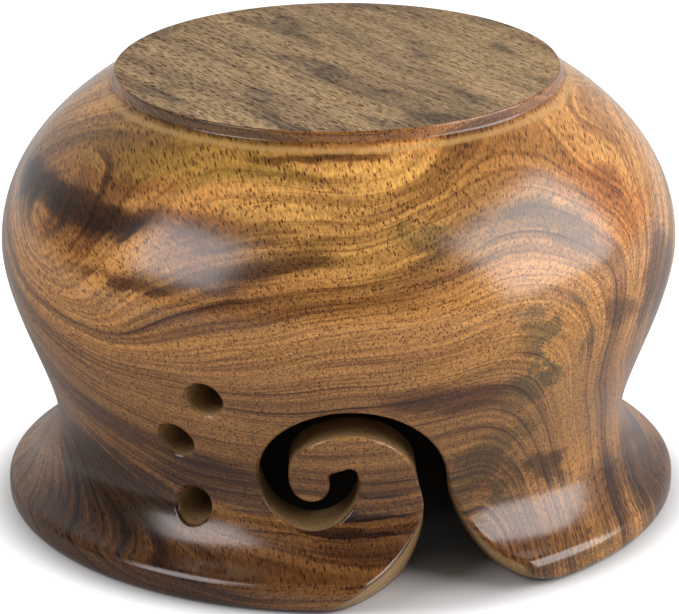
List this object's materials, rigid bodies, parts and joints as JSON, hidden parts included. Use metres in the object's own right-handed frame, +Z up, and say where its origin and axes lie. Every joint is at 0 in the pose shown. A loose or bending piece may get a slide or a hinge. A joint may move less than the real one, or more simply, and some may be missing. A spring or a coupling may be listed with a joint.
{
  "type": "yarn bowl",
  "caption": "Turned wooden yarn bowl standing on its flared rim, foot uppermost, with a scroll slot open through the rim for the strand and drilled needle holes beside it.",
  "frame": {"origin": "on the bowl's axis, in the plane of the rim it stands on", "axes": "+Z up along the bowl's axis to the foot's face, -Y towards the scroll slot, +X to the right as seen from the slot's side"},
  "size_m": [0.152, 0.152, 0.1006],
  "materials": {
    "wood": "turned hardwood under clear gloss lacquer, the foot's face bare and matt"
  },
  "bodies": {
    "root": {"bowl": "wood"}
  },
  "joints": []
}
